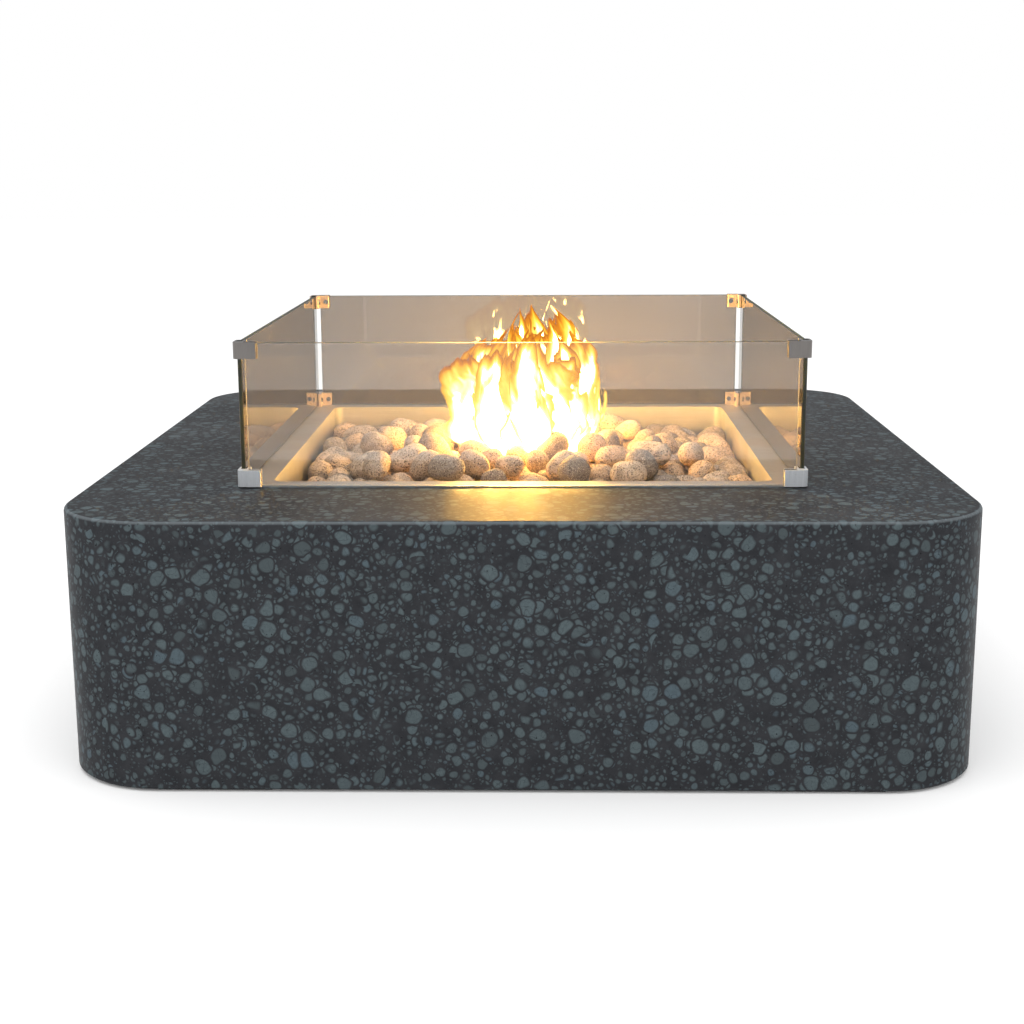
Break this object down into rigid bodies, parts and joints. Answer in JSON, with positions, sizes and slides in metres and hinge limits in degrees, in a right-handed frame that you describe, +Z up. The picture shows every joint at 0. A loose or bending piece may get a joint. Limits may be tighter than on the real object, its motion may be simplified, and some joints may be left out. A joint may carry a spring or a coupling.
{
  "type": "fire pit table",
  "caption": "Low square gas fire pit table with rounded corners, a drop-in steel pan of tumbled lava stones and a lift-off glass wind guard in metal corner brackets.",
  "frame": {"origin": "on the ground under the middle of the table", "axes": "+Z up, front faces -Y, +X to the right seen from the front, key valve on the +X wall"},
  "size_m": [1.219, 1.219, 0.565],
  "materials": {
    "shell_finish": "satin",
    "stainless": "satin",
    "polished_steel": "polished",
    "bracket_aluminium": "satin",
    "tinted_glass": "gloss",
    "lava_stone": "matte",
    "lava_gravel": "matte",
    "rubber": "matte",
    "brass": "satin",
    "black_pipe": "satin",
    "white_plastic": "satin",
    "dark_plastic": "satin"
  },
  "bodies": {
    "base": {"burner_elbow": "black_pipe", "burner_nipple": "black_pipe", "burner_ring": "stainless", "burner_saddles": "stainless", "door_frame": "stainless", "escutcheon": "polished_steel", "feed_pipe": "black_pipe", "fire_pan": "stainless", "foot_pads": "rubber", "lava_gravel_bed": "lava_gravel", "lava_stones": "lava_stone", "magnet_catch": "dark_plastic", "nipple_nut": "brass", "pivot_bushes": "white_plastic", "table_shell": "shell_finish", "valve_body": "brass", "valve_elbow": "black_pipe", "valve_nut": "brass", "valve_retainer": "brass", "valve_seats": "white_plastic", "vent_grille_left": "stainless", "vent_grille_right": "stainless"},
    "wind_guard": {"bracket_front_left_lower": "bracket_aluminium", "bracket_front_left_upper": "bracket_aluminium", "bracket_front_right_lower": "bracket_aluminium", "bracket_front_right_upper": "bracket_aluminium", "bracket_rear_left_lower": "bracket_aluminium", "bracket_rear_left_upper": "bracket_aluminium", "bracket_rear_right_lower": "bracket_aluminium", "bracket_rear_right_upper": "bracket_aluminium", "clamp_screws": "polished_steel", "glass_gaskets": "rubber", "glass_panel_front": "tinted_glass", "glass_panel_left": "tinted_glass", "glass_panel_rear": "tinted_glass", "glass_panel_right": "tinted_glass"},
    "access_door": {"door_leaf": "stainless", "door_pull": "polished_steel", "pivot_pins": "polished_steel", "strike_plate": "polished_steel"},
    "valve_core": {"valve_ball": "polished_steel", "valve_stem": "brass"}
  },
  "joints": [
    {"name": "guard_lift", "type": "slide", "parent": "base", "child": "wind_guard", "axis": [0, 0, 1], "range_m": [0, 0.25]},
    {"name": "door_swing", "type": "hinge", "parent": "base", "child": "access_door", "pos_m": [0.1605, 0.602, 0.168], "axis": [0, 0, -1], "range_deg": [0, 90]},
    {"name": "valve_turn", "type": "hinge", "parent": "base", "child": "valve_core", "pos_m": [0.5565, 0, 0.174], "axis": [1, 0, 0], "range_deg": [0, 90]}
  ]
}
